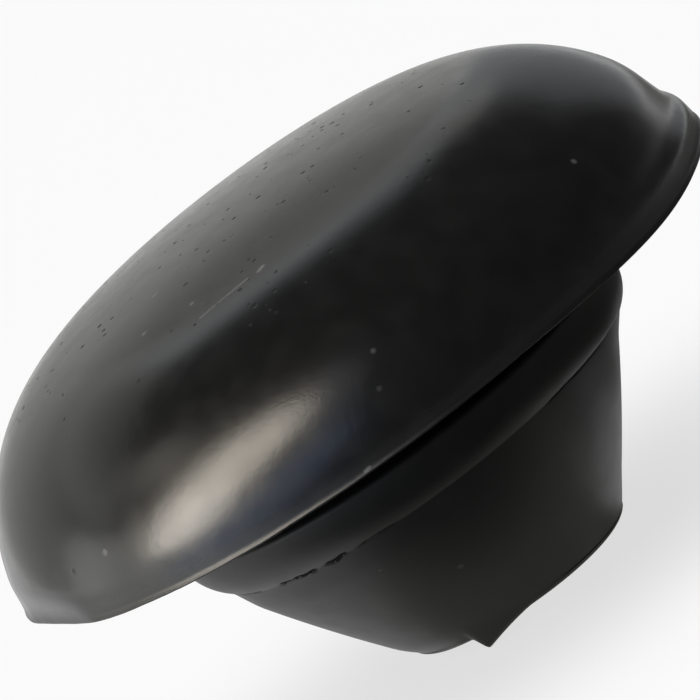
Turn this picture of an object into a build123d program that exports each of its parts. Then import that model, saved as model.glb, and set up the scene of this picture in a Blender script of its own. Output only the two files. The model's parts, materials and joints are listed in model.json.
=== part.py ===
from build123d import *

import os
from math import acos, asin, degrees, sqrt

# Push-in sealing plug for a round panel hole, moulded in black rubber as one piece.
# The plug's own axis is Z. It stands head up, X and Y start on the axis, and Z = 0 is the tip
# of the nib left on the nose.

# Head: a shallow crown that rolls over into steep sides, with a thin sealing lip round its foot
head_diameter = 25.0      # across the sealing lip
head_height = 6.26        # sealing face to the middle of the crown
crown_radius = 45.0       # arc across the top
shoulder_radius = 6.45    # arc from the crown down the sides
side_inset = 0.09         # widest circle of the shoulder arc, measured in from the lip
lip_thickness = 0.15      # upright outer edge of the lip
lip_root_height = 0.42    # sealing face to where the lip's flare leaves the side of the head

# Groove: holds the edge of the panel
neck_diameter = 13.0      # fills the hole in the panel
panel_thickness = 1.2     # width of the groove

# Collar: the bead that snaps in behind the panel
collar_diameter = 15.9
collar_height = 1.65      # groove to the crease under the collar
collar_chamfer = 0.2      # upper outer corner
collar_land = 0.1         # upright part of the collar's side, under that corner

# Crease: the parting line between collar and nose
crease_diameter = 14.25
crease_width = 0.16
crease_depth = 0.14

# Nose: the taper that leads the plug into the hole
nose_length = 5.2         # crease to the end face
nose_diameter = 7.16      # at the end face, before its edge is rounded
nose_bulge = 0.1          # how far the taper swells past a straight line
nose_rounding = 0.4

# Nib: torn remnant of the moulding gate at the edge of the end face
nib_height = 0.46
nib_angle = -28.0         # turned about Z from the -Y side
nib_inset = 0.1           # nib's outer face, in from the nose diameter
nib_steep_side = 0.58     # foot of the steep side, from the nib's middle
nib_peak = 0.34           # peak, from the nib's middle
nib_long_side = 0.92      # foot of the long side, from the nib's middle
nib_thickness = 0.5
nib_root = 0.5            # how deep the nib runs into the nose
nib_taper = 14.0          # degrees

# Worn place: the lip and the foot of the side are rubbed flat for a short way
worn_depth = 0.3
worn_height = 1.1
worn_angle = 195.0        # about Z from +X

# Heights along the axis, from the nib's tip upwards
end_face = nib_height
crease = end_face + nose_length
collar_top = crease + collar_height
sealing_face = collar_top + panel_thickness
crown = sealing_face + head_height

# Radii
head_radius = head_diameter / 2
neck_radius = neck_diameter / 2
collar_radius = collar_diameter / 2
crease_radius = crease_diameter / 2
nose_radius = nose_diameter / 2

# The shoulder arc touches the crown arc, and both lie inside the lip
shoulder_x = head_radius - side_inset - shoulder_radius
crown_centre = crown - crown_radius
shoulder_centre = crown_centre + sqrt((crown_radius - shoulder_radius) ** 2 - shoulder_x ** 2)
shoulder_start = degrees(acos(shoulder_x / (crown_radius - shoulder_radius)))
lip_root = sealing_face + lip_root_height
shoulder_end = degrees(asin((lip_root - shoulder_centre) / shoulder_radius))

with BuildPart() as plug:
    with BuildSketch(Plane.XZ) as section:
        with BuildLine() as outline:
            crown_arc = CenterArc((0, crown_centre), crown_radius, 90, shoulder_start - 90)
            shoulder_arc = CenterArc(
                (shoulder_x, shoulder_centre), shoulder_radius, shoulder_start, shoulder_end - shoulder_start
            )
            groove = Polyline(
                shoulder_arc @ 1,
                (head_radius, sealing_face + lip_thickness),
                (head_radius, sealing_face),
                (neck_radius, sealing_face),
                (neck_radius, collar_top),
                (collar_radius, collar_top),
                (collar_radius, collar_top - collar_chamfer - collar_land),
            )
            collar_round = TangentArc(
                groove @ 1, (crease_radius, crease + crease_width / 2), tangent=(0, -1)
            )
            crease_notch = Polyline(
                collar_round @ 1,
                (crease_radius - crease_depth, crease),
                (crease_radius, crease - crease_width / 2),
            )
            taper = SagittaArc(crease_notch @ 1, (nose_radius, end_face), nose_bulge)
            Polyline(taper @ 1, (0, end_face), (0, crown))
        make_face()
        collar_corner = section.vertices().sort_by_distance((collar_radius, collar_top))[0]
        chamfer(collar_corner, collar_chamfer)
        nose_corner = section.vertices().sort_by_distance((nose_radius, end_face))[0]
        fillet(nose_corner, nose_rounding)
    revolve(axis=Axis.Z)

    # The torn nib: steep on one side, drawn out on the other, thinner towards the axis
    nib_plane = Plane.XZ.rotated((0, 0, nib_angle)).offset(nose_radius - nib_inset)
    with BuildSketch(nib_plane):
        with BuildLine():
            Polyline(
                (-nib_steep_side, end_face + nib_root),
                (-nib_steep_side, end_face),
                (-nib_peak, 0),
                (nib_long_side, end_face),
                (nib_long_side, end_face + nib_root),
                close=True,
            )
        make_face()
    extrude(amount=-nib_thickness, taper=nib_taper)

    # The worn stretch
    with BuildSketch(Plane.XY.offset(sealing_face).rotated((0, 0, worn_angle))):
        with Locations((head_radius - worn_depth, 0)):
            Rectangle(2 * worn_depth, head_radius, align=(Align.MIN, Align.CENTER))
    extrude(amount=worn_height, mode=Mode.SUBTRACT)

plug.part.label = "sealing_plug"

os.makedirs("parts", exist_ok=True)
export_step(plug.part, "parts/sealing_plug.step")
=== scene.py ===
import json
from math import acos, asin, atan2, cos, degrees, pi, radians, sin, sqrt, tan

import bpy
from mathutils import Matrix, Vector, noise as steadyNoise

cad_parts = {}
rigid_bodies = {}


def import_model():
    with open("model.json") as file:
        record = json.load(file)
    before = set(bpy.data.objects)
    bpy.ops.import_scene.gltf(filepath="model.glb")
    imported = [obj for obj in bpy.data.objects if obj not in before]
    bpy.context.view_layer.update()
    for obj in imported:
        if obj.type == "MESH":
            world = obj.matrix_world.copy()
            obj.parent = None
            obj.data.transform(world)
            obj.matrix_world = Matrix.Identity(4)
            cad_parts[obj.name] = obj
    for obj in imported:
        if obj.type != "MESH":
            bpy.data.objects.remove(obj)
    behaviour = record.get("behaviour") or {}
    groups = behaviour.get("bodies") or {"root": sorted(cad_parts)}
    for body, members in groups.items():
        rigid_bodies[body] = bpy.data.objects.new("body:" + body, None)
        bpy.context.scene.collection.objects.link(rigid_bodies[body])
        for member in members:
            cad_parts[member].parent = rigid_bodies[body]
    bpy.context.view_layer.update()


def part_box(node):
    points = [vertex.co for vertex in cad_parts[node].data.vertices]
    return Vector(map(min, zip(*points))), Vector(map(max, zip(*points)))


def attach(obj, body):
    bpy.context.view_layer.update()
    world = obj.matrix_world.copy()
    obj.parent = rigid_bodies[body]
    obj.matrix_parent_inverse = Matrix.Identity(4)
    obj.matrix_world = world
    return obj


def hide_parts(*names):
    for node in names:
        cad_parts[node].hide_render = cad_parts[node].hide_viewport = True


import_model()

mm = 0.001
plugNode = "sealing_plug"
plugLow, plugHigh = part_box(plugNode)
headRadius = min(-plugLow[0], -plugLow[1], plugHigh[0], plugHigh[1])


def deselectAll():
    bpy.ops.object.select_all(action="DESELECT")
    bpy.context.view_layer.objects.active = None


def activate(piece):
    deselectAll()
    piece.select_set(True)
    bpy.context.view_layer.objects.active = piece


def enterEdit():
    bpy.ops.object.mode_set(mode="EDIT")
    bpy.ops.mesh.select_mode(type="VERT")


def leaveEdit():
    bpy.ops.object.mode_set(mode="OBJECT")


def clamp(value):
    return max(0.0, min(1.0, value))


def easeBetween(value, low, high):
    # 0 below low, 1 above high, smooth in between
    t = clamp((value - low) / (high - low))
    return t * t * (3 - 2 * t)


def plateau(value, low, fullLow, fullHigh, high):
    # 0 outside low and high, 1 from fullLow to fullHigh
    return easeBetween(value, low, fullLow) * (1 - easeBetween(value, fullHigh, high))


def bump(value, middle, halfWidth):
    # 1 at the middle, easing to 0 at the half width on either side
    return 1 - easeBetween(abs(value - middle), 0, halfWidth)


def turnFrom(angle, middle):
    # difference of two angles in degrees, from -180 to 180
    return (angle - middle + 180) % 360 - 180


# Plug body: the half section is drawn and spun round the axis

plugShape = {
    "headHeight": 6.26 * mm,       # sealing face to the middle of the crown
    "crownRadius": 45.0 * mm,
    "shoulderRadius": 6.45 * mm,
    "lipRounding": 0.04 * mm,
    "lipFlare": 31.0,              # degrees, where the hollow above the lip meets its rounded edge
    "neckRadius": 6.5 * mm,
    "grooveWidth": 1.2 * mm,
    "neckRounding": 0.15 * mm,
    "neckClear": 0.4 * mm,         # the sealing face's own points end this far from the neck
    "collarRadius": 7.95 * mm,
    "collarHeight": 1.65 * mm,
    "collarRounding": 0.2 * mm,
    "collarLand": 0.05 * mm,
    "creaseRadius": 7.26 * mm,
    "noseRadius": 3.66 * mm,
    "noseBulge": 0.1 * mm,
    "noseRounding": 0.4 * mm,
    "roundingTrim": 0.53,          # shares of it: taken off the taper, and from the rim to its centre
    "roundingInset": 0.42,
    "roundingLean": 4.0,           # degrees before the taper's own slope, where it starts
    "rimWidth": 0.6 * mm,          # the outermost part of the end face
    "nibHeight": 0.46 * mm,
    "turns": 440,                  # divisions round the axis
    "step": 0.18 * mm,             # length of the divisions along the section
    "fineStep": 0.03 * mm,         # the same in the lip's hollow and close to the crease
    "fineReach": 0.3 * mm,         # how far from the crease they are fine
    "footHeight": 1.3 * mm,        # above the sealing face, under which the head's side gets more of them
    "coarseRadius": 11.0 * mm,     # inside which the sealing face gets fewer
}

sealingFace = plugHigh[2] - plugShape["headHeight"]
collarTop = sealingFace - plugShape["grooveWidth"]
creaseHeight = collarTop - plugShape["collarHeight"]
endFace = plugLow[2] + plugShape["nibHeight"]


def arcPoints(centre, radius, start, end, step):
    # both ends left in, angles in radians
    count = max(2, round(abs(end - start) * radius / step))
    return [
        (centre[0] + radius * cos(start + (end - start) * i / count),
         centre[1] + radius * sin(start + (end - start) * i / count))
        for i in range(count + 1)
    ]


def linePoints(start, end, step):
    length = sqrt((end[0] - start[0]) ** 2 + (end[1] - start[1]) ** 2)
    count = max(1, round(length / step))
    return [
        (start[0] + (end[0] - start[0]) * i / count, start[1] + (end[1] - start[1]) * i / count)
        for i in range(count + 1)
    ]


def plugSection(s):
    # (radius, height) from the middle of the crown down to the middle of the end face
    step = s["step"]

    # crown and shoulder
    shoulderX = headRadius - s["shoulderRadius"]
    crownCentre = plugHigh[2] - s["crownRadius"]
    reach = s["crownRadius"] - s["shoulderRadius"]
    shoulderCentre = crownCentre + sqrt(reach ** 2 - shoulderX ** 2)
    turnIn = acos(shoulderX / reach)
    turnDown = asin((sealingFace + s["footHeight"] - shoulderCentre) / s["shoulderRadius"])

    # a hollow touches the side of the head and the rounded edge of the lip
    r = s["lipRounding"]
    edge = (headRadius - r, sealingFace + r)
    flare = radians(s["lipFlare"])
    apart = (edge[0] - shoulderX, edge[1] - shoulderCentre)
    lean = apart[0] * cos(flare) + apart[1] * sin(flare)
    spare = apart[0] ** 2 + apart[1] ** 2 + r * r + 2 * r * lean - s["shoulderRadius"] ** 2
    hollowRadius = spare / 2 / (s["shoulderRadius"] - lean - r)
    hollow = (edge[0] + (r + hollowRadius) * cos(flare), edge[1] + (r + hollowRadius) * sin(flare))
    turnOut = atan2(hollow[1] - shoulderCentre, hollow[0] - shoulderX)

    shoulder = (shoulderX, shoulderCentre)
    points = arcPoints((0, crownCentre), s["crownRadius"], pi / 2, turnIn, 2 * step)
    points += arcPoints(shoulder, s["shoulderRadius"], turnIn, turnDown, step)
    points += arcPoints(shoulder, s["shoulderRadius"], turnDown, turnOut, step / 3)[1:]

    # lip and sealing face
    points += arcPoints(hollow, hollowRadius, pi + turnOut, pi + flare, s["fineStep"])[1:]
    points += arcPoints(edge, r, flare, -pi / 2, r / 3)[1:]
    coarseStart = (s["coarseRadius"], sealingFace)
    points += linePoints((headRadius - 1.6 * r, sealingFace), coarseStart, 1.6 * step)
    points += linePoints(coarseStart, (s["neckRadius"] + s["neckClear"], sealingFace), 5 * step)[1:]

    # neck and groove
    r = s["neckRounding"]
    points += arcPoints((s["neckRadius"] + r, sealingFace - r), r, pi / 2, pi, r / 2)
    points += arcPoints((s["neckRadius"] + r, collarTop + r), r, pi, 3 * pi / 2, r / 2)

    # collar, rolled in towards the crease
    r = s["collarRounding"]
    collarEdge = (s["collarRadius"] - 1.5 * r, collarTop)
    points += linePoints((s["neckRadius"] + 2 * r, collarTop), collarEdge, step)
    points += arcPoints((s["collarRadius"] - r, collarTop - r), r, pi / 2, 0, r / 4)
    rollTop = (s["collarRadius"], collarTop - r - s["collarLand"] / 2)
    drop = rollTop[1] - creaseHeight
    inward = rollTop[0] - s["creaseRadius"]
    rollRadius = (drop ** 2 + inward ** 2) / (2 * inward)
    rollCentre = (rollTop[0] - rollRadius, rollTop[1])
    rollTurn = asin(drop / rollRadius)
    fineTurn = rollTurn - s["fineReach"] / rollRadius  # closer points near the crease, which is torn later
    points += arcPoints(rollCentre, rollRadius, 0, -fineTurn, step / 2)
    points += arcPoints(rollCentre, rollRadius, -fineTurn, -rollTurn, s["fineStep"])[1:]

    # nose, swelling a little past a straight taper
    taperStart = (s["creaseRadius"], creaseHeight)
    taperEnd = (s["noseRadius"], endFace)
    length = sqrt((taperStart[0] - taperEnd[0]) ** 2 + (taperStart[1] - taperEnd[1]) ** 2)
    outward = ((taperStart[1] - taperEnd[1]) / length, -(taperStart[0] - taperEnd[0]) / length)
    r = s["noseRounding"]
    trim = s["roundingTrim"] * r / length
    fine = s["fineReach"] / length
    fineCount = round(s["fineReach"] / s["fineStep"])
    count = round(length / step)
    shares = [fine * i / fineCount for i in range(1, fineCount)]
    shares += [fine + (1 - trim - fine) * i / count for i in range(count + 1)]
    for t in shares:
        swell = 4 * s["noseBulge"] * t * (1 - t)
        points.append((taperStart[0] + (taperEnd[0] - taperStart[0]) * t + outward[0] * swell,
                       taperStart[1] + (taperEnd[1] - taperStart[1]) * t + outward[1] * swell))
    slope = atan2(outward[1], outward[0])
    centre = (s["noseRadius"] - s["roundingInset"] * r, endFace + r)
    points += arcPoints(centre, r, slope - radians(s["roundingLean"]), -pi / 2, r / 12)

    # end face, with closer points along its rim
    rimOuter = (centre[0] - r / 8, endFace)
    rimInner = (rimOuter[0] - s["rimWidth"], endFace)
    points += linePoints(rimOuter, rimInner, s["rimWidth"] / 10)
    points += linePoints(rimInner, (0, endFace), 2 * step)[1:]
    return points


def spinSection(name, section, turns):
    # one point is drawn out along the section, and the section is spun round the axis
    deselectAll()
    bpy.ops.mesh.primitive_plane_add(size=mm, location=(0, 0, section[0][1]))
    piece = bpy.context.object
    piece.name = name
    bpy.ops.object.transform_apply(location=True, rotation=True, scale=True)
    enterEdit()
    bpy.ops.mesh.select_all(action="SELECT")
    bpy.ops.mesh.merge(type="CENTER")
    for here, there in zip(section, section[1:]):
        shift = (there[0] - here[0], 0, there[1] - here[1])
        bpy.ops.mesh.extrude_region_move(TRANSFORM_OT_translate={"value": shift})
    bpy.ops.mesh.select_all(action="SELECT")
    bpy.ops.mesh.spin(steps=turns, angle=2 * pi, center=(0, 0, 0), axis=(0, 0, 1))
    bpy.ops.mesh.select_all(action="SELECT")
    bpy.ops.mesh.remove_doubles(threshold=0.002 * mm)
    bpy.ops.mesh.normals_make_consistent(inside=False)
    leaveEdit()
    return piece


def placeOf(point):
    # radius, angle in degrees and height
    x, y, z = point
    return sqrt(x * x + y * y), degrees(atan2(y, x)), z


def addWeights(piece, name, weightAt):
    # a vertex group that holds weightAt(radius, angle, height)
    group = piece.vertex_groups.new(name=name)
    for vertex in piece.data.vertices:
        weight = weightAt(*placeOf(vertex.co))
        if weight > 0.001:
            group.add([vertex.index], min(1.0, weight), "REPLACE")


def applyWeighted(piece, name):
    # applies the modifier of that name through the vertex group of that name
    piece.modifiers[name].vertex_group = name
    activate(piece)
    bpy.ops.object.modifier_apply(modifier=name)
    piece.vertex_groups.remove(piece.vertex_groups[name])


def push(piece, name, weightAt, amount, direction="NORMAL", noiseSize=None):
    # moves the surface by an amount, as far as its weights say
    addWeights(piece, name, weightAt)
    modifier = piece.modifiers.new(name, "DISPLACE")
    modifier.direction = direction
    modifier.strength = amount
    modifier.mid_level = 0.0
    if noiseSize:
        texture = bpy.data.textures.new(name, "CLOUDS")
        texture.noise_scale = noiseSize
        texture.noise_depth = 2
        modifier.texture = texture
        modifier.texture_coords = "LOCAL"
        modifier.mid_level = 0.5
    applyWeighted(piece, name)


def soften(piece, name, weightAt, rounds):
    addWeights(piece, name, weightAt)
    modifier = piece.modifiers.new(name, "SMOOTH")
    modifier.factor = 0.5
    modifier.iterations = rounds
    applyWeighted(piece, name)


def markTorn(piece, weightAt):
    # the rubber's material is dull where this is 1, and its colour is darkened there as painted shade in the
    # crease
    tornShade = piece.data.attributes.new("tornShade", "FLOAT", "POINT")
    for vertex in piece.data.vertices:
        tornShade.data[vertex.index].value = weightAt(*placeOf(vertex.co))


section = plugSection(plugShape)
plug = spinSection("plugBody", section, plugShape["turns"])
print("plug body:", len(section), "points in the section,", len(plug.data.polygons), "faces")

# The moulding isn't quite true. Each form has a side and a reach in degrees, the amount that it moves the
# surface, and the radii, heights, or rises above the sealing face between which it eases in and out


def sideWeight(angle, s):
    return bump(turnFrom(angle, s["side"]), 0, s["reach"])


def flatSideWeight(angle, s):
    # full in the middle of the side, easing to 0 over the fade at both ends
    return easeBetween(s["reach"] - abs(turnFrom(angle, s["side"])), 0, s["fade"])


fullHead = {"side": 180, "reach": 75, "amount": 0.06 * mm,
            "radii": (7.5 * mm, 11.5 * mm), "rises": (0.4 * mm, 1.2 * mm)}


def fullHeadWeight(radius, angle, height):
    s = fullHead
    level = easeBetween(height - sealingFace, *s["rises"])
    return sideWeight(angle, s) * easeBetween(radius, *s["radii"]) * level


fullNose = {"side": 180, "reach": 110, "amount": 0.1 * mm,
            "heights": (endFace, endFace + 0.8 * mm, creaseHeight - 1 * mm, creaseHeight)}


def fullNoseWeight(radius, angle, height):
    s = fullNose
    return sideWeight(angle, s) * plateau(height, *s["heights"])


fullCollar = {"side": 0, "reach": 70, "amount": 0.13 * mm,
              "middle": creaseHeight + 0.3 * mm, "halfHeight": 1.2 * mm, "innerRadius": 6.7 * mm}


def fullCollarWeight(radius, angle, height):
    s = fullCollar
    if radius < s["innerRadius"]:
        return 0
    return sideWeight(angle, s) * bump(height, s["middle"], s["halfHeight"])


# the foot of the head's side is drawn out to the lip, so the lip is taller here
lipStand = {"side": 5, "reach": 60, "fade": 50, "amount": 0.06 * mm,
            "rises": (0.05 * mm, 0.3 * mm, 0.65 * mm, 1.1 * mm), "innerRadius": 11.5 * mm,
            "edge": 0.02 * mm, "edgeFade": 0.16 * mm}


def standWeight(radius, angle, height):
    s = lipStand
    if radius < s["innerRadius"]:
        return 0
    level = plateau(height - sealingFace, *s["rises"])
    return flatSideWeight(angle, s) * level * clamp((headRadius - s["edge"] - radius) / s["edgeFade"])


# the side is drawn in above the tallest place of the lip
lipNotch = {"side": 5, "reach": 60, "amount": 0.14 * mm,
            "rises": (0.7 * mm, 1.25 * mm, 1.3 * mm, 2.9 * mm), "innerRadius": 10 * mm}


def notchWeight(radius, angle, height):
    s = lipNotch
    if radius < s["innerRadius"]:
        return 0
    return sideWeight(angle, s) * plateau(height - sealingFace, *s["rises"])


# the edges that drawing out and drawing in leave between them are smoothed
lipRidge = {"side": 5, "reach": 70, "fade": 30, "rounds": 30,
            "rises": (0.25 * mm, 0.5 * mm, 1.6 * mm, 2.2 * mm), "innerRadius": 10 * mm}


def ridgeWeight(radius, angle, height):
    s = lipRidge
    if radius < s["innerRadius"]:
        return 0
    return flatSideWeight(angle, s) * plateau(height - sealingFace, *s["rises"])


# the lip hangs on one side, and wanders up and down all round
lipHang = {"side": -38, "reach": 34, "amount": 0.24 * mm}
lipWander = {"amount": 0.035 * mm, "noiseSize": 1.6 * mm,
             "radii": (11.2 * mm, 12.2 * mm), "rises": (-0.2 * mm, -0.05 * mm, 0.5 * mm, 1.6 * mm)}


def lipWeight(radius, angle, height):
    s = lipWander
    return easeBetween(radius, *s["radii"]) * plateau(height - sealingFace, *s["rises"])


def hangWeight(radius, angle, height):
    return sideWeight(angle, lipHang) * lipWeight(radius, angle, height)


push(plug, "fullHead", fullHeadWeight, fullHead["amount"])
push(plug, "fullNose", fullNoseWeight, fullNose["amount"])
push(plug, "fullCollar", fullCollarWeight, fullCollar["amount"])
push(plug, "lipStand", standWeight, lipStand["amount"])
push(plug, "lipNotch", notchWeight, -lipNotch["amount"])
soften(plug, "lipRidge", ridgeWeight, lipRidge["rounds"])
push(plug, "lipHang", hangWeight, -lipHang["amount"], "Z")
push(plug, "lipWander", lipWeight, lipWander["amount"], "Z", lipWander["noiseSize"])
print("head: side, nose and collar fuller, lip drawn out and bent")

# Crease: a broken, ragged parting line

creaseForm = {
    "depth": 0.09 * mm, "width": 0.024 * mm, "wander": 0.03 * mm,
    "reach": 0.35 * mm, "innerRadius": 6.5 * mm,
    "fade": 3,                     # degrees at both ends of a stretch
    "tornSpread": 1.25,            # the dull look and its painted shade reach this much wider than the crease itself
    # stretches where it is open: from and to in degrees, how deep, and how ragged
    "open": [(-181, -151, 0.6, 0.1), (-144, -129, 1.0, 1.0), (-128, -119, 1.0, 1.0), (-118, -104, 0.4, 0.4),
             (-60, -20, 0.3, 0.2), (20, 150, 0.35, 0.3)],
}


def creaseWeight(radius, angle, height, spread=1.0):
    s = creaseForm
    if abs(height - creaseHeight) > s["reach"] or radius < s["innerRadius"]:
        return 0
    turn = radians(angle)
    ring = Vector((cos(turn), sin(turn), 0))
    longWave = steadyNoise.noise(ring * 9)
    shortWave = steadyNoise.noise(ring * 20)
    thickness = steadyNoise.noise(ring * 14 + Vector((5, 0, 0)))
    breaks = steadyNoise.noise(ring * 12 + Vector((0, 7, 0)))
    deepest = 0
    for start, end, depth, ragged in s["open"]:
        half = (end - start) / 2
        ends = 1 - easeBetween(abs(turnFrom(angle, (start + end) / 2)), half - s["fade"], half)
        line = creaseHeight + s["wander"] * (longWave + 2 * ragged * shortWave)
        width = spread * s["width"] * (1 + ragged * (1.2 + 2.2 * thickness))
        shape = 1 - easeBetween(abs(height - line), width * 0.35, width * 1.5)
        deepest = max(deepest, ends * depth * shape * clamp(1 + ragged * breaks))
    return deepest


def tornWeight(radius, angle, height):
    return creaseWeight(radius, angle, height, creaseForm["tornSpread"])


markTorn(plug, tornWeight)
push(plug, "crease", creaseWeight, -creaseForm["depth"])
print("crease: torn open in places")

# Nib: the torn end of the moulding gate, drawn down out of the rim of the end face

nibForm = {
    "angle": -118,
    "steepFoot": -0.6 * mm, "peak": -0.3 * mm, "longFoot": 1.5 * mm,  # along the rim
    "slopePower": 1.35,                # 1 is a straight slope to the long foot
    "inner": (2.8 * mm, 3.15 * mm),    # outward from the axis
    "rises": (0.06 * mm, 0.5 * mm),    # above the end face
}
nibFoot = {"side": -110, "reach": 42, "strength": 2, "rounds": 12,
           "heights": (0.05 * mm, 0.3 * mm, 1.2 * mm, 1.8 * mm)}
rimHang = {"side": -35, "reach": 95, "amount": 0.1 * mm,
           "radii": (2.4 * mm, 3.3 * mm), "rises": (0, 1.2 * mm)}


def nibWeight(radius, angle, height):
    s = nibForm
    turn = radians(turnFrom(angle, s["angle"]))
    along = radius * sin(turn)
    if not s["steepFoot"] < along < s["longFoot"]:
        return 0
    if along < s["peak"]:
        profile = easeBetween(along, s["steepFoot"], s["peak"])
    else:
        profile = ((s["longFoot"] - along) / (s["longFoot"] - s["peak"])) ** s["slopePower"]
    depth = easeBetween(radius * cos(turn), *s["inner"])
    return profile * depth * (1 - easeBetween(height - endFace, *s["rises"]))


def nibFootWeight(radius, angle, height):
    # everything round the nib except its tip
    s = nibFoot
    return s["strength"] * sideWeight(angle, s) * plateau(height, *s["heights"])


def rimWeight(radius, angle, height):
    s = rimHang
    level = 1 - easeBetween(height - endFace, *s["rises"])
    return sideWeight(angle, s) * easeBetween(radius, *s["radii"]) * level


push(plug, "rimHang", rimWeight, -rimHang["amount"], "Z")
push(plug, "nib", nibWeight, 0.01 * mm - plugShape["nibHeight"], "Z")  # a hair short of the box's floor
soften(plug, "nibFoot", nibFootWeight, nibFoot["rounds"])
print("nib: drawn down")

# Worn stretch: the lip and the foot of the side are rubbed down to a soft flat

wornLip = {"angle": 197, "reach": 40, "depth": 0.3 * mm, "soft": 0.07 * mm, "rises": (0.1 * mm, 1.5 * mm)}


def wornWeight(radius, angle, height):
    # how far the surface stands beyond the flat, easing off at the flat's ends
    s = wornLip
    away = turnFrom(angle, s["angle"])
    beyond = radius * cos(radians(away)) - headRadius + s["depth"]
    underneath = height < sealingFace - 0.01 * mm
    if underneath or abs(away) > s["reach"] or beyond < -3 * s["soft"]:
        return 0
    level = 1 - easeBetween(height - sealingFace, *s["rises"])
    return level * (beyond + sqrt(beyond ** 2 + s["soft"] ** 2)) / 2 / s["depth"]


wornTurn = radians(wornLip["angle"])
push(plug, "wearAcross", wornWeight, -wornLip["depth"] * cos(wornTurn), "X")
push(plug, "wearAlong", wornWeight, -wornLip["depth"] * sin(wornTurn), "Y")
activate(plug)
bpy.ops.object.shade_smooth_by_angle(angle=radians(50))
print("worn stretch rubbed down,", len(plug.data.polygons), "faces")

# Rubber: helpers for the shader nodes, then the groups, then the material


def newGroup(name, inputs, outputs):
    tree = bpy.data.node_groups.new(name, "ShaderNodeTree")
    for label, kind, value in inputs:
        socket = tree.interface.new_socket(label, in_out="INPUT", socket_type=kind)
        if value is not None:
            socket.default_value = value
    for label, kind in outputs:
        tree.interface.new_socket(label, in_out="OUTPUT", socket_type=kind)
    return tree, tree.nodes.new("NodeGroupInput"), tree.nodes.new("NodeGroupOutput")


def link(tree, source, target):
    tree.links.new(source, target)


def feed(tree, socket, value):
    # a socket takes a link from another socket, or a plain value
    if isinstance(value, bpy.types.NodeSocket):
        link(tree, value, socket)
    else:
        socket.default_value = value


def maths(tree, operation, first, second=0.0, third=0.0, clampIt=False):
    node = tree.nodes.new("ShaderNodeMath")
    node.operation = operation
    node.use_clamp = clampIt
    feed(tree, node.inputs[0], first)
    feed(tree, node.inputs[1], second)
    feed(tree, node.inputs[2], third)
    return node.outputs[0]


def vectorMaths(tree, operation, *values, output="Vector"):
    node = tree.nodes.new("ShaderNodeVectorMath")
    node.operation = operation
    for socket, value in zip(node.inputs, values):
        feed(tree, socket, value)
    return node.outputs[output]


def stretch(tree, vector, factor):
    node = tree.nodes.new("ShaderNodeVectorMath")
    node.operation = "SCALE"
    feed(tree, node.inputs[0], vector)
    feed(tree, node.inputs["Scale"], factor)
    return node.outputs["Vector"]


def between(tree, value, fromLow, fromHigh, toLow=0.0, toHigh=1.0):
    node = tree.nodes.new("ShaderNodeMapRange")
    node.interpolation_type = "SMOOTHSTEP"
    for label, amount in (("Value", value), ("From Min", fromLow), ("From Max", fromHigh),
                          ("To Min", toLow), ("To Max", toHigh)):
        feed(tree, node.inputs[label], amount)
    return node.outputs["Result"]


def noise(tree, coordinates, size, detail=2.0, roughness=0.5, output="Fac"):
    node = tree.nodes.new("ShaderNodeTexNoise")
    link(tree, coordinates, node.inputs["Vector"])
    node.inputs["Scale"].default_value = 1 / size
    node.inputs["Detail"].default_value = detail
    node.inputs["Roughness"].default_value = roughness
    return node.outputs[output]


def mixColour(tree, factor, first, second):
    node = tree.nodes.new("ShaderNodeMix")
    node.data_type = "RGBA"
    feed(tree, node.inputs["Factor"], factor)
    feed(tree, node.inputs["A"], first)
    feed(tree, node.inputs["B"], second)
    return node.outputs["Result"]


def makeSkinGroup():
    # the moulded surface: long waves, a mottled grain and a fine sparkle, all in millimetres
    tree, inNode, outNode = newGroup(
        "mouldedSkin",
        [("Coordinates", "NodeSocketVector", None), ("Waves", "NodeSocketFloat", 1.0),
         ("Grain", "NodeSocketFloat", 1.0), ("Sparkle", "NodeSocketFloat", 1.0)],
        [("Height", "NodeSocketFloat"), ("Mottle", "NodeSocketFloat")],
    )
    here = inNode.outputs["Coordinates"]
    waves = maths(tree, "MULTIPLY", noise(tree, here, 2.4, 1.0), inNode.outputs["Waves"])
    grain = maths(tree, "MULTIPLY", noise(tree, here, 0.3, 2.0, 0.6), inNode.outputs["Grain"])
    sparkle = maths(tree, "MULTIPLY", noise(tree, here, 0.09, 1.0), inNode.outputs["Sparkle"])
    link(tree, maths(tree, "ADD", maths(tree, "ADD", waves, grain), sparkle), outNode.inputs["Height"])
    link(tree, noise(tree, here, 0.9), outNode.inputs["Mottle"])
    return tree


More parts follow.
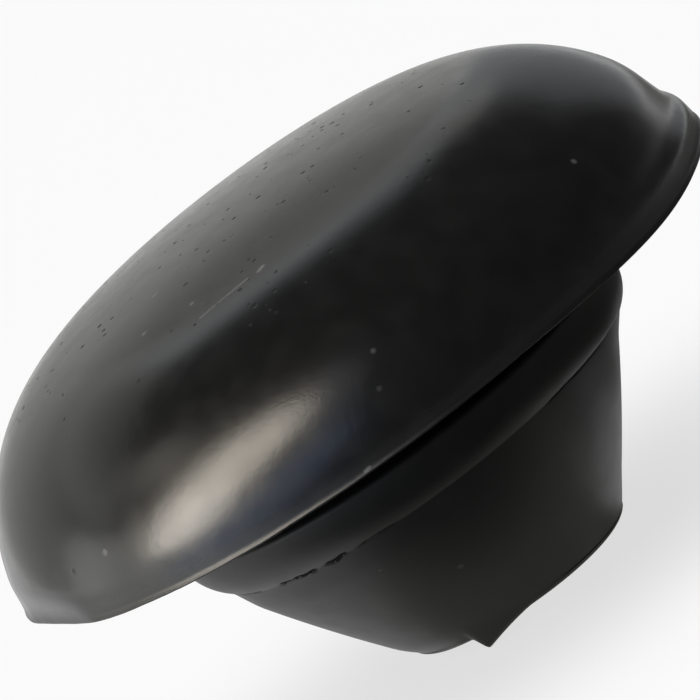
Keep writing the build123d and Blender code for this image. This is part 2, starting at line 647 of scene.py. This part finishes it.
def makeSpeckGroup():
    # scattered round specks: one in so many cells holds one
    tree, inNode, outNode = newGroup(
        "scatteredSpecks",
        [("Coordinates", "NodeSocketVector", None), ("Cell", "NodeSocketFloat", 1.0),
         ("Share", "NodeSocketFloat", 0.1), ("Size", "NodeSocketFloat", 0.1)],
        [("Mask", "NodeSocketFloat")],
    )
    scaled = stretch(tree, inNode.outputs["Coordinates"], maths(tree, "DIVIDE", 1.0, inNode.outputs["Cell"]))
    wobble = noise(tree, scaled, 0.2, output="Color")  # bends the specks a little out of round
    cells = tree.nodes.new("ShaderNodeTexVoronoi")
    link(tree, vectorMaths(tree, "MULTIPLY_ADD", wobble, (0.12, 0.12, 0.12), scaled), cells.inputs["Vector"])
    cells.inputs["Scale"].default_value = 1.0
    pick = tree.nodes.new("ShaderNodeSeparateColor")
    link(tree, cells.outputs["Color"], pick.inputs["Color"])
    chosen = maths(tree, "LESS_THAN", pick.outputs["Red"], inNode.outputs["Share"])
    share = between(tree, pick.outputs["Green"], 0, 1, 0.35, 1.0)  # no two are of one size
    reach = maths(tree, "MULTIPLY", inNode.outputs["Size"], share)
    reach = maths(tree, "DIVIDE", reach, inNode.outputs["Cell"])
    inside = between(tree, cells.outputs["Distance"], maths(tree, "MULTIPLY", reach, 0.6), reach, 1.0, 0.0)
    link(tree, maths(tree, "MULTIPLY", chosen, inside), outNode.inputs["Mask"])
    return tree


def makeMarkGroup():
    # one speck or scratch: everything within its width of the line from start to end
    tree, inNode, outNode = newGroup(
        "singleMark",
        [("Coordinates", "NodeSocketVector", None), ("Start", "NodeSocketVector", (0, 0, 0)),
         ("End", "NodeSocketVector", (0, 0, 0)), ("Width", "NodeSocketFloat", 0.05)],
        [("Mask", "NodeSocketFloat")],
    )
    start, end = inNode.outputs["Start"], inNode.outputs["End"]
    line = vectorMaths(tree, "SUBTRACT", end, start)
    offset = vectorMaths(tree, "SUBTRACT", inNode.outputs["Coordinates"], start)
    along = vectorMaths(tree, "DOT_PRODUCT", offset, line, output="Value")
    length = maths(tree, "MAXIMUM", vectorMaths(tree, "DOT_PRODUCT", line, line, output="Value"), 0.0001)
    share = maths(tree, "DIVIDE", along, length, clampIt=True)
    nearest = stretch(tree, line, share)
    away = vectorMaths(tree, "DISTANCE", offset, nearest, output="Value")
    link(tree, between(tree, away, 0.0, inNode.outputs["Width"], 1.0, 0.0), outNode.inputs["Mask"])
    return tree


rubberLook = {
    "colour": (0.0058, 0.0058, 0.0056, 1),
    "worn": (0.0100, 0.0100, 0.0096, 1),    # mottled paler patches
    "dust": (0.14, 0.14, 0.135, 1),
    # painted shade in the pits and the torn crease
    "recessShade": (0.001, 0.001, 0.001, 1),
    "shine": (0.235, 0.27),                 # roughness in the glossy and the dull patches
    "noseDullness": 0.28,                   # added to it on the collar and the nose
    "lipDullness": 0.13,                    # added to it along the lip's edge
    "noseFade": (-0.3 * mm, 0.0 * mm),      # rises above the sealing face where these dullnesses fade out
    "lipFade": (0.02 * mm, 0.65 * mm),
    "grainHeight": 0.006 * mm,
    "waves": 0.6, "grain": 0.55, "sparkle": 0.3,  # as shares of it
    # scattered dust in two sizes, in millimetres, with its strength, and how it covers and dulls the rubber
    "coarseDust": ({"Cell": 1.6, "Share": 0.07, "Size": 0.08}, 0.35),
    "fineDust": ({"Cell": 0.5, "Share": 0.05, "Size": 0.045}, 0.25),
    "dustCover": 0.8, "dustDullness": 0.7,
    # pits crowd together in patches, and set in between these rises above the sealing face
    "scatteredPits": ({"Cell": 0.4, "Share": 0.46, "Size": 0.12}, 0.9),
    "pitRises": (4.3 * mm, 5.2 * mm), "pitPatches": 3.0,
    "pitDullness": 0.7, "pitDepth": 0.7,
    # single specks and a scratch, seen from the top or the front, in millimetres: start, end, width; strength
    "marks": [
        ("top", (-2.94, -6.90), (-2.00, -6.92), 0.11, 0.5),
        ("top", (-1.90, -6.93), (-1.18, -6.90), 0.12, 0.6),
        ("top", (-0.74, -6.98), (-0.60, -6.88), 0.17, 0.9),
        ("top", (-3.66, -2.39), (-3.66, -2.39), 0.17, 0.7),
        ("top", (-2.90, -5.53), (-2.90, -5.53), 0.15, 0.7),
        ("top", (-4.58, -4.65), (-4.58, -4.65), 0.15, 0.8),
        ("front", (-9.34, 10.35), (-9.34, 10.35), 0.18, 1.0),
        ("front", (8.60, 11.30), (8.60, 11.30), 0.15, 0.7),
        ("front", (0.53, 11.20), (0.53, 11.20), 0.13, 0.5),
        ("front", (0.01, 10.29), (0.01, 10.29), 0.13, 0.3),
        ("front", (-1.75, 8.62), (-1.60, 8.65), 0.10, 0.7),
        ("front", (-1.23, 3.10), (-1.23, 3.10), 0.15, 0.4),
    ],
    "pits": [
        ("top", (2.26, -4.81), (2.26, -4.81), 0.19, 1.0),
        ("top", (7.40, -2.23), (7.40, -2.23), 0.17, 1.0),
        ("top", (1.06, -3.15), (1.06, -3.15), 0.17, 1.0),
        ("front", (-10.45, 10.15), (-10.45, 10.15), 0.16, 1.0),
    ],
}


def onSurface(side, place):
    # the point of the plug that is seen at that place from the top or the front, in millimetres
    if side == "top":
        origin, direction = (place[0] * mm, place[1] * mm, plugHigh[2] + 5 * mm), (0, 0, -1)
    else:
        origin, direction = (place[0] * mm, plugLow[1] - 5 * mm, place[1] * mm), (0, 1, 0)
    point = plug.ray_cast(origin, direction)[1]
    return tuple(value / mm for value in point)


def makeRubber(s, skin, specks, mark):
    material = bpy.data.materials.new("blackRubber")
    material.use_nodes = True
    tree = material.node_tree
    shader = tree.nodes["Principled BSDF"]
    place = tree.nodes.new("ShaderNodeTexCoord")
    here = stretch(tree, place.outputs["Object"], 1 / mm)
    axes = tree.nodes.new("ShaderNodeSeparateXYZ")
    link(tree, here, axes.inputs["Vector"])

    def group(source, **values):
        node = tree.nodes.new("ShaderNodeGroup")
        node.node_tree = source
        link(tree, here, node.inputs["Coordinates"])
        for label, value in values.items():
            node.inputs[label].default_value = value
        return node

    def scattered(look):
        values, strength = look
        return maths(tree, "MULTIPLY", group(specks, **values).outputs["Mask"], strength)

    def marks(listed, mask):
        for side, start, end, width, strength in listed:
            spot = group(mark, Start=onSurface(side, start), End=onSurface(side, end), Width=width)
            mask = maths(tree, "MAXIMUM", mask, maths(tree, "MULTIPLY", spot.outputs["Mask"], strength))
        return mask

    def upward(rises, low, high):
        # from low to high between two rises above the sealing face
        foot, top = [(sealingFace + rise) / mm for rise in rises]
        return between(tree, axes.outputs["Z"], foot, top, low, high)

    surface = group(skin, Waves=s["waves"], Grain=s["grain"], Sparkle=s["sparkle"])
    dust = maths(tree, "MAXIMUM", scattered(s["coarseDust"]), scattered(s["fineDust"]))
    dust = marks(s["marks"], dust)

    patches = between(tree, noise(tree, here, s["pitPatches"], 1.0), 0.36, 0.52)
    crowded = maths(tree, "MULTIPLY", patches, upward(s["pitRises"], 0.0, 1.0))
    pits = maths(tree, "MULTIPLY", scattered(s["scatteredPits"]), crowded)
    pits = marks(s["pits"], pits)

    # the torn crease: dull, and darkened as painted shade
    attribute = tree.nodes.new("ShaderNodeAttribute")
    attribute.attribute_name = "tornShade"
    ragged = maths(tree, "MULTIPLY_ADD", noise(tree, here, 0.1), 3.0, -0.7)
    tornShade = between(tree, maths(tree, "MULTIPLY", attribute.outputs["Fac"], ragged), 0.05, 0.4)

    paler = between(tree, surface.outputs["Mottle"], 0.3, 0.75, 0.0, 0.5)
    colour = mixColour(tree, paler, s["colour"], s["worn"])
    # painted shade: the pits and the torn crease are darkened towards a near-black colour
    colour = mixColour(tree, maths(tree, "MAXIMUM", pits, tornShade), colour, s["recessShade"])
    colour = mixColour(tree, maths(tree, "MULTIPLY", dust, s["dustCover"]), colour, s["dust"])
    link(tree, colour, shader.inputs["Base Color"])

    rough = between(tree, surface.outputs["Mottle"], 0.3, 0.7, *s["shine"])
    rough = maths(tree, "ADD", rough, upward(s["noseFade"], s["noseDullness"] - s["lipDullness"], 0.0))
    rough = maths(tree, "ADD", rough, upward(s["lipFade"], s["lipDullness"], 0.0))
    rough = maths(tree, "MAXIMUM", rough, maths(tree, "MULTIPLY", dust, s["dustDullness"]))
    rough = maths(tree, "MAXIMUM", rough, maths(tree, "MULTIPLY", pits, s["pitDullness"]))
    rough = maths(tree, "MAXIMUM", rough, tornShade)
    link(tree, rough, shader.inputs["Roughness"])

    height = maths(tree, "SUBTRACT", surface.outputs["Height"], maths(tree, "MULTIPLY", pits, s["pitDepth"]))
    raised = tree.nodes.new("ShaderNodeBump")
    raised.inputs["Distance"].default_value = s["grainHeight"]
    link(tree, maths(tree, "ADD", height, dust), raised.inputs["Height"])
    link(tree, raised.outputs["Normal"], shader.inputs["Normal"])
    return material


rubber = makeRubber(rubberLook, makeSkinGroup(), makeSpeckGroup(), makeMarkGroup())
plug.data.materials.append(rubber)
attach(plug, "root")
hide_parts(plugNode)
print("rubber made")

# Floor

floorLook = {"size": 6.0, "colour": (0.88, 0.88, 0.88, 1), "glow": 0.7}


def makeFloor(s):
    deselectAll()
    bpy.ops.mesh.primitive_plane_add(size=s["size"], location=(0, 0, plugLow[2]))
    floor = bpy.context.object
    floor.name = "floor"
    bpy.ops.object.transform_apply(location=True, rotation=True, scale=True)
    material = bpy.data.materials.new("paleFloor")
    material.use_nodes = True
    shader = material.node_tree.nodes["Principled BSDF"]
    shader.inputs["Base Color"].default_value = s["colour"]
    shader.inputs["Roughness"].default_value = 0.9
    shader.inputs["Specular IOR Level"].default_value = 0.0

    # the floor is white in reflections, and lifted part of the way to white where it is seen directly
    tree = material.node_tree
    paths = tree.nodes.new("ShaderNodeLightPath")
    seen = maths(tree, "MULTIPLY", paths.outputs["Is Camera Ray"], s["glow"])
    seen = maths(tree, "MAXIMUM", seen, paths.outputs["Is Glossy Ray"])
    seen = maths(tree, "MAXIMUM", seen, paths.outputs["Is Transmission Ray"])
    white = tree.nodes.new("ShaderNodeEmission")
    white.inputs["Strength"].default_value = 1.0
    lifted = tree.nodes.new("ShaderNodeMixShader")
    link(tree, seen, lifted.inputs["Fac"])
    link(tree, shader.outputs["BSDF"], lifted.inputs[1])
    link(tree, white.outputs["Emission"], lifted.inputs[2])
    link(tree, lifted.outputs["Shader"], tree.nodes["Material Output"].inputs["Surface"])
    floor.data.materials.append(material)


makeFloor(floorLook)
print("floor laid")

# Painted reflections: cards just over the floor, in front, under and to the right, show only in the rubber's
# shine. Most are dark and put in as painted shade on the floor; those close to the plug glow as painted
# reflections of a shaded white floor

paintedReflectionCards = [
    {"name": "frontCard", "across": (-33 * mm, 160 * mm), "along": (-160 * mm, -6.3 * mm), "glow": 0.02},
    {"name": "nearCard", "across": (-6 * mm, 7 * mm), "along": (-6.3 * mm, -2.4 * mm), "glow": 0.4},
    {"name": "underCard", "across": (0 * mm, 4.2 * mm), "along": (-2.4 * mm, 1 * mm), "glow": 0.25},
    {"name": "sideCard", "across": (7 * mm, 160 * mm), "along": (-6.3 * mm, -1.5 * mm), "glow": 0.05},
    {"name": "rightCard", "across": (8.8 * mm, 160 * mm), "along": (-1.5 * mm, 7 * mm), "glow": 0.05},
    {"name": "farCard", "across": (14 * mm, 160 * mm), "along": (7 * mm, 42 * mm), "glow": 0.05},
    {"name": "backCard", "across": (24 * mm, 160 * mm), "along": (42 * mm, 160 * mm), "glow": 0.15},
]
cardHeight = 0.05 * mm  # above the floor


def makeCard(s):
    left, right = s["across"]
    near, far = s["along"]
    middle = ((left + right) / 2, (near + far) / 2, plugLow[2] + cardHeight)
    deselectAll()
    bpy.ops.mesh.primitive_plane_add(size=1, location=middle)
    card = bpy.context.object
    card.name = s["name"]
    card.scale = (right - left, far - near, 1)
    bpy.ops.object.transform_apply(location=True, rotation=True, scale=True)
    material = bpy.data.materials.new(s["name"])
    material.use_nodes = True
    shader = material.node_tree.nodes["Principled BSDF"]
    # painted reflection: a near-black sheet that glows at its given strength, seen only in the rubber's shine
    shader.inputs["Base Color"].default_value = (0.02, 0.02, 0.02, 1)
    shader.inputs["Emission Color"].default_value = (1, 1, 0.94, 1)
    shader.inputs["Emission Strength"].default_value = s["glow"]
    shader.inputs["Roughness"].default_value = 1.0
    shader.inputs["Specular IOR Level"].default_value = 0.0
    card.data.materials.append(material)
    card.visible_camera = False
    card.visible_diffuse = False
    card.visible_shadow = False
    card.visible_transmission = False


for card in paintedReflectionCards:
    makeCard(card)
print(len(paintedReflectionCards), "cards laid")

# Lamps: each runs from start to end, both an azimuth and an elevation in degrees as seen from the plug, where
# azimuth 0 is behind it and 90 to its right, and is as many degrees wide

lampLook = [
    {"name": "windowLamp", "start": (-158, 47), "end": (-98, 13), "width": 20, "radiance": 10.5,
     "colour": (1.0, 0.91, 0.78), "distance": 0.35, "shape": "ELLIPSE", "shine": True},
    {"name": "windowFoot", "start": (-126, 28), "end": (-97, 12), "width": 20, "radiance": 3.9,
     "colour": (1.0, 0.97, 0.93), "distance": 0.36, "shape": "ELLIPSE", "shine": True},
    {"name": "coolStrip", "start": (-170, 26), "end": (-95, -6), "width": 16, "radiance": 1.25,
     "colour": (0.42, 0.62, 1.0), "distance": 0.37, "shape": "ELLIPSE", "shine": True},
    {"name": "windowSide", "start": (-104, 47), "end": (-80, 44), "width": 16, "radiance": 1.5,
     "colour": (1.0, 0.94, 0.84), "distance": 0.43, "shape": "ELLIPSE", "shine": True},
    {"name": "windowSill", "start": (-120, 6), "end": (-86, 4), "width": 10, "radiance": 0.8,
     "colour": (1.0, 1.0, 1.0), "distance": 0.45, "shape": "ELLIPSE", "shine": True},
    {"name": "coolTop", "start": (-178, 55), "end": (-155, 26), "width": 16, "radiance": 0.55,
     "colour": (0.7, 0.8, 1.0), "distance": 0.44, "shape": "ELLIPSE", "shine": True},
    {"name": "leftMiddle", "start": (-85, 26), "end": (-8, 26), "width": 12, "radiance": 0.38,
     "colour": (1.0, 1.0, 0.96), "distance": 0.39, "shape": "RECTANGLE", "shine": True},
    {"name": "backLow", "start": (-80, 5.5), "end": (8, 5.5), "width": 37, "radiance": 0.6,
     "colour": (1.0, 1.0, 0.96), "distance": 0.40, "shape": "RECTANGLE", "shine": True},
    {"name": "backHigh", "start": (-78, 30), "end": (22, 30), "width": 22, "radiance": 0.52,
     "colour": (1.0, 1.0, 0.96), "distance": 0.41, "shape": "RECTANGLE", "shine": True},
    {"name": "backTop", "start": (-20, 47), "end": (22, 47), "width": 16, "radiance": 0.6,
     "colour": (0.85, 0.93, 1.0), "distance": 0.42, "shape": "RECTANGLE", "shine": True},
    {"name": "leftPanel", "start": (-100, 6), "end": (-62, 6), "width": 28, "radiance": 1.5,
     "colour": (1.0, 1.0, 0.95), "distance": 0.38, "shape": "RECTANGLE", "shine": True},
    {"name": "rightPanel", "start": (8, 10), "end": (44, 10), "width": 38, "radiance": 0.38,
     "colour": (0.92, 0.96, 1.0), "distance": 0.38, "shape": "RECTANGLE", "shine": True},
    {"name": "topFill", "start": (-90, 45), "end": (90, 45), "width": 90, "radiance": 1.7,
     "colour": (1.0, 1.0, 1.0), "distance": 0.8, "shape": "ELLIPSE", "shine": False},
    {"name": "leftFill", "start": (-135, 38), "end": (-85, 38), "width": 36, "radiance": 1.5,
     "colour": (1.0, 1.0, 1.0), "distance": 0.7, "shape": "ELLIPSE", "shine": False},
]
lampCentre = Vector((0, 0, 10 * mm))  # the lamps' distances are measured from it


def heading(azimuth, elevation):
    a, e = radians(azimuth), radians(elevation)
    return Vector((sin(a) * cos(e), cos(a) * cos(e), sin(e)))


def addLamp(s):
    start, end = heading(*s["start"]), heading(*s["end"])
    middle = (start + end) / 2
    direction = middle.normalized()
    along = start - end
    along = (along - direction * along.dot(direction)).normalized()
    light = bpy.data.lights.new(s["name"], "AREA")
    light.shape = s["shape"]
    light.size = (start - end).length / middle.length * s["distance"]
    light.size_y = 2 * tan(radians(s["width"] / 2)) * s["distance"]
    area = light.size * light.size_y * (pi / 4 if s["shape"] == "ELLIPSE" else 1)
    light.energy = s["radiance"] * pi * area
    light.color = s["colour"]
    lamp = bpy.data.objects.new(s["name"], light)
    bpy.context.scene.collection.objects.link(lamp)
    turn = Matrix((along, direction.cross(along), direction)).transposed().to_4x4()
    lamp.matrix_world = Matrix.Translation(lampCentre + direction * s["distance"]) @ turn
    lamp.visible_camera = False
    lamp.visible_diffuse = not s["shine"]    # lamps that give the shine don't light the floor
    lamp.visible_glossy = s["shine"]


for lamp in lampLook:
    addLamp(lamp)
print(len(lampLook), "lamps hung")

world = bpy.data.worlds.new("studio")
bpy.context.scene.world = world
world.use_nodes = True
background = world.node_tree.nodes["Background"]
background.inputs["Color"].default_value = (1, 1, 1, 1)
background.inputs["Strength"].default_value = 0.05

# Camera

cameraLook = {
    "elevation": 12.0,
    "roll": 36.87,                 # the plug leans to the left in the view
    "lens": 1000.0,
    "sensor": 36.0,
    "frameWidth": 20.88 * mm,      # width of the view at the plug's axis
    "aim": 0.67 * mm,              # above the sealing face, on the axis
}


def makeCamera(s):
    data = bpy.data.cameras.new("camera")
    data.lens = s["lens"]
    data.sensor_width = s["sensor"]
    distance = s["frameWidth"] * s["lens"] / s["sensor"]
    data.clip_start = distance * 0.1
    data.clip_end = distance * 10
    e, roll = radians(s["elevation"]), radians(s["roll"])
    back = Vector((0, -cos(e), sin(e)))
    upright = Vector((0, sin(e), cos(e)))
    sideways = Vector((1, 0, 0))
    right = sideways * cos(roll) - upright * sin(roll)
    up = sideways * sin(roll) + upright * cos(roll)
    turn = Matrix((right, up, back)).transposed().to_4x4()
    camera = bpy.data.objects.new("camera", data)
    camera.matrix_world = Matrix.Translation(Vector((0, 0, sealingFace + s["aim"])) + back * distance) @ turn
    bpy.context.scene.collection.objects.link(camera)
    bpy.context.scene.camera = camera


makeCamera(cameraLook)
bpy.context.scene.view_settings.view_transform = "Standard"
print("camera set")
